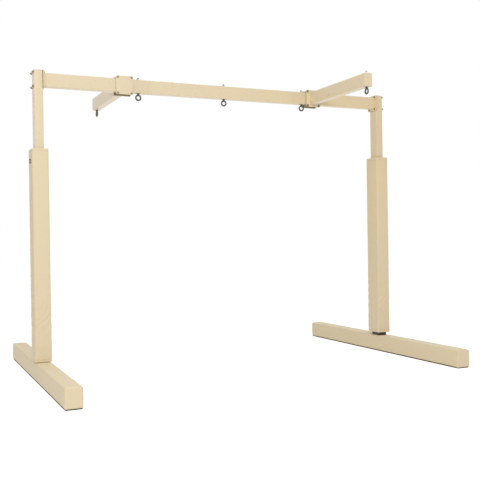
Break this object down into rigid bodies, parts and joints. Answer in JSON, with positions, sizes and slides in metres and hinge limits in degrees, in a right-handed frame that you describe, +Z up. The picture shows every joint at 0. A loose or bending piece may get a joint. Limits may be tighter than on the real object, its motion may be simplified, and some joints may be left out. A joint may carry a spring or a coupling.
{
  "type": "swing support frame",
  "caption": "Free-standing swing frame: padded floor legs and posts, telescoping uprights, a box-section crossbeam with eyebolts below it and sliding arms that reach front and back.",
  "frame": {"origin": "on the floor under the middle of the crossbeam, midway between the two posts", "axes": "+X along the crossbeam to the right post, +Z up, -Y to the side that the right arm reaches to"},
  "size_m": [3.0926, 2.206, 2.262],
  "materials": {
    "beige_paint": "satin powder coat",
    "black_paint": "satin",
    "beige_vinyl": "satin vinyl-coated fabric over foam",
    "black_rubber": "matte",
    "beige_plastic": "matte",
    "white_nylon": "matte",
    "black_plastic": "matte",
    "zinc_plate": "zinc plated",
    "dark_steel": "dull plated"
  },
  "bodies": {
    "left_leg": {"left_floor_leg_tube": "black_paint", "left_floor_strip": "black_rubber", "left_floor_leg_pad": "beige_vinyl", "left_lower_post": "black_paint", "left_post_bushing": "white_nylon", "left_post_pad": "beige_vinyl", "left_foot_bolt_lower": "zinc_plate", "left_foot_bolt_upper": "zinc_plate"},
    "upper_frame": {"crossbeam": "beige_paint", "left_upper_post": "beige_paint", "left_post_cap": "beige_plastic", "left_beam_bolt_back_upper": "dark_steel", "left_beam_bolt_back_lower": "dark_steel", "left_beam_bolt_front_upper": "dark_steel", "left_beam_bolt_front_lower": "dark_steel", "right_upper_post": "beige_paint", "right_post_cap": "beige_plastic", "right_beam_bolt_back_upper": "dark_steel", "right_beam_bolt_back_lower": "dark_steel", "right_beam_bolt_front_upper": "dark_steel", "right_beam_bolt_front_lower": "dark_steel", "beam_eyebolt_left": "zinc_plate", "beam_eyebolt_nut_left": "zinc_plate", "beam_eyebolt_centre": "zinc_plate", "beam_eyebolt_nut_centre": "zinc_plate", "beam_eyebolt_right": "zinc_plate", "beam_eyebolt_nut_right": "zinc_plate"},
    "right_leg": {"right_floor_leg_tube": "black_paint", "right_floor_strip": "black_rubber", "right_floor_leg_pad": "beige_vinyl", "right_lower_post": "black_paint", "right_post_bushing": "white_nylon", "right_post_pad": "beige_vinyl", "right_foot_bolt_lower": "zinc_plate", "right_foot_bolt_upper": "zinc_plate"},
    "left_arm_clamp": {"left_arm": "beige_paint", "left_clamp_plate": "beige_paint", "left_arm_cap": "beige_paint", "left_clamp_bolt_outer_upper": "dark_steel", "left_clamp_bolt_outer_lower": "dark_steel", "left_clamp_bolt_inner_upper": "dark_steel", "left_clamp_bolt_inner_lower": "dark_steel", "left_arm_eyebolt": "zinc_plate", "left_arm_eyebolt_nut": "zinc_plate"},
    "right_arm_clamp": {"right_arm": "beige_paint", "right_clamp_plate": "beige_paint", "right_arm_cap": "beige_paint", "right_clamp_bolt_outer_upper": "dark_steel", "right_clamp_bolt_outer_lower": "dark_steel", "right_clamp_bolt_inner_upper": "dark_steel", "right_clamp_bolt_inner_lower": "dark_steel", "right_arm_eyebolt": "zinc_plate", "right_arm_eyebolt_nut": "zinc_plate"},
    "left_upper_screw": {"left_upper_clamp_screw": "black_plastic"},
    "left_lower_screw": {"left_lower_clamp_screw": "black_plastic"},
    "right_upper_screw": {"right_upper_clamp_screw": "black_plastic"},
    "right_lower_screw": {"right_lower_clamp_screw": "black_plastic"}
  },
  "joints": [
    {"name": "height_adjust", "type": "slide", "parent": "left_leg", "child": "upper_frame", "axis": [0, 0, 1], "range_m": [-0.4064, 0.2032]},
    {"name": "right_leg_adjust", "type": "slide", "parent": "upper_frame", "child": "right_leg", "axis": [0, 0, 1], "range_m": [-0.2032, 0.4064]},
    {"name": "left_arm_slide", "type": "slide", "parent": "upper_frame", "child": "left_arm_clamp", "axis": [1, 0, 0], "range_m": [-0.5, 0.02]},
    {"name": "right_arm_slide", "type": "slide", "parent": "upper_frame", "child": "right_arm_clamp", "axis": [1, 0, 0], "range_m": [-0.015, 0.5]},
    {"name": "left_upper_screw_turn", "type": "hinge", "parent": "left_leg", "child": "left_upper_screw", "pos_m": [-1.54, 0, 1.6055], "axis": [-1, 0, 0], "range_deg": [0, 360]},
    {"name": "left_lower_screw_turn", "type": "hinge", "parent": "left_leg", "child": "left_lower_screw", "pos_m": [-1.54, 0, 1.5865], "axis": [-1, 0, 0], "range_deg": [0, 360]},
    {"name": "right_upper_screw_turn", "type": "hinge", "parent": "right_leg", "child": "right_upper_screw", "pos_m": [1.54, 0, 1.6055], "axis": [1, 0, 0], "range_deg": [0, 360]},
    {"name": "right_lower_screw_turn", "type": "hinge", "parent": "right_leg", "child": "right_lower_screw", "pos_m": [1.54, 0, 1.5865], "axis": [1, 0, 0], "range_deg": [0, 360]}
  ],
  "couplings": [
    {"joint": "right_leg_adjust", "follows": "height_adjust", "ratio": -1}
  ]
}
